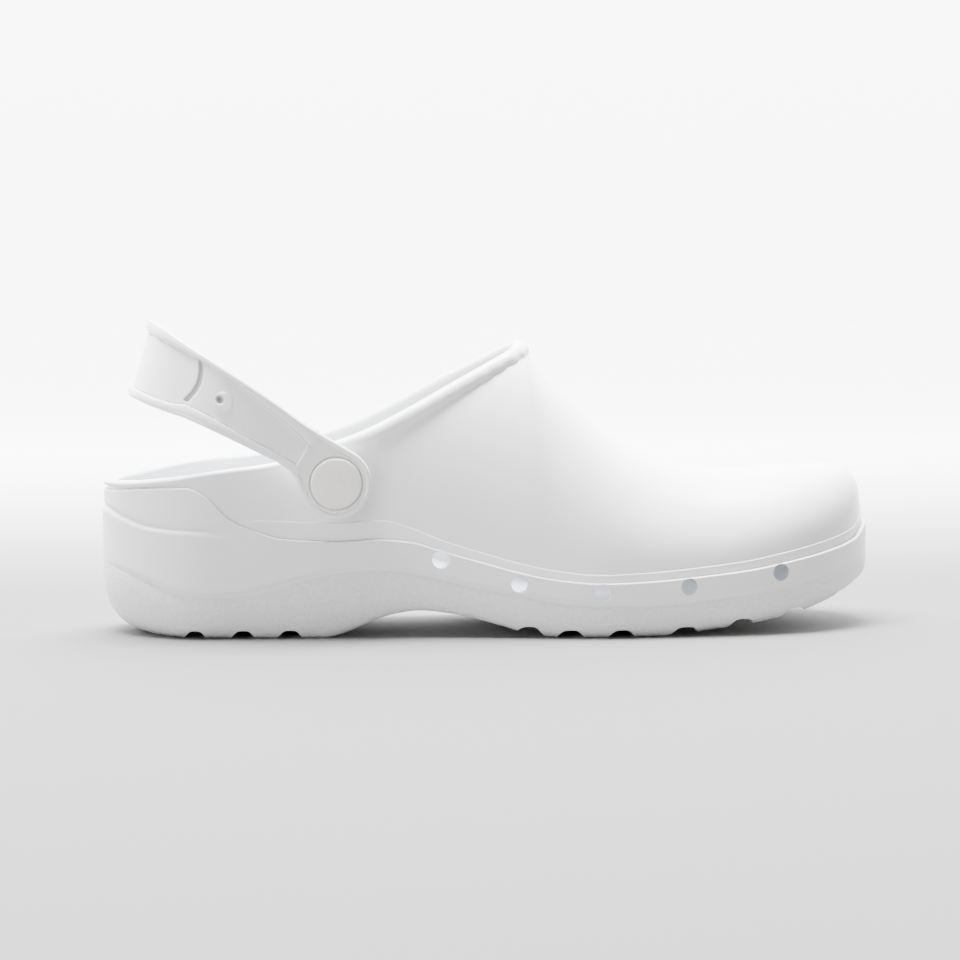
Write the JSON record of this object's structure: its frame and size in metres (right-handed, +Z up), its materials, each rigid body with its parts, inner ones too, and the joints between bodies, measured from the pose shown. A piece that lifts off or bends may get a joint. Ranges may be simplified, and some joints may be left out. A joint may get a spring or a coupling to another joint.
{
  "type": "work clog",
  "caption": "Right-foot moulded foam clog: smooth closed toe, rolled collar, riveted heel strap, cup sole with side vents and a lugged tread.",
  "frame": {"origin": "on the floor at the middle of the second heel lug", "axes": "+X towards the toe, +Y towards the inner side of the foot, +Z up"},
  "size_m": [0.274, 0.0982, 0.1083],
  "materials": {
    "sole_foam": "matt white moulded foam, smooth above and finely grained below",
    "upper_foam": "smooth satin white moulded foam",
    "insole_foam": "matt pale grey foam",
    "strap_foam": "smooth satin white moulded foam",
    "rivet_plastic": "semi-gloss warm white moulded plastic"
  },
  "bodies": {
    "root": {"sole": "sole_foam", "upper": "upper_foam", "insole": "insole_foam", "heel_strap": "strap_foam", "rivet_cap_lateral": "rivet_plastic", "rivet_cap_medial": "rivet_plastic", "rivet_washer_lateral": "rivet_plastic", "rivet_washer_medial": "rivet_plastic"}
  },
  "joints": []
}
